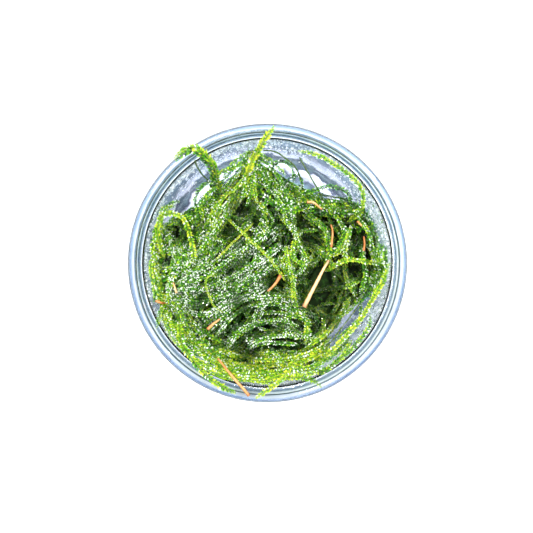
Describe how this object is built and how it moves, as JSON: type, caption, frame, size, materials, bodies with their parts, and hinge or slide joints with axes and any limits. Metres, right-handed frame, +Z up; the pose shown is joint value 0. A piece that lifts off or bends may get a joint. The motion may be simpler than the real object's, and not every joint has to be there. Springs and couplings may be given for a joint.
{
  "type": "moss clump in clear cup",
  "caption": "Tangle of aquatic moss filling a shallow clear plastic cup, with loose leafy sprigs over the rim and scraps of dry stem on top.",
  "frame": {"origin": "on the cup's axis, in the plane of the foot ring that it stands on", "axes": "+Z up along the cup's axis, -Y towards the front, where the moss reaches the rim, +X to the right"},
  "size_m": [0.09, 0.09, 0.0553],
  "materials": {
    "clear_plastic": "clear moulded plastic, glossy, with fine condensation inside",
    "moss_green": "wet dark green leaves, glossy in the light",
    "sprig_green": "fresh yellow-green leaves, wet",
    "bare_stem": "dark green wiry stem without leaves",
    "straw": "dry orange-brown plant stem"
  },
  "bodies": {
    "root": {"cup": "clear_plastic", "moss_mass": "moss_green", "sprig_back_tip": "sprig_green", "sprig_rim_fold": "sprig_green", "sprig_wall_arc": "sprig_green", "sprig_left_loop": "sprig_green", "sprig_left_edge": "sprig_green", "sprig_front_left": "sprig_green", "sprig_front": "sprig_green", "sprig_front_right": "sprig_green", "sprig_right_edge": "sprig_green", "sprig_right_front": "sprig_green", "sprig_right_cross": "sprig_green", "stem_back_arch": "bare_stem", "stem_back_straight": "bare_stem", "stem_left_thin": "bare_stem", "straw_front": "straw", "straw_long": "straw", "straw_middle": "straw", "straw_right": "straw", "straw_right_chip": "straw", "straw_inner_right": "straw", "straw_back": "straw", "straw_left": "straw", "straw_left_chip": "straw", "straw_front_chip": "straw"}
  },
  "joints": []
}
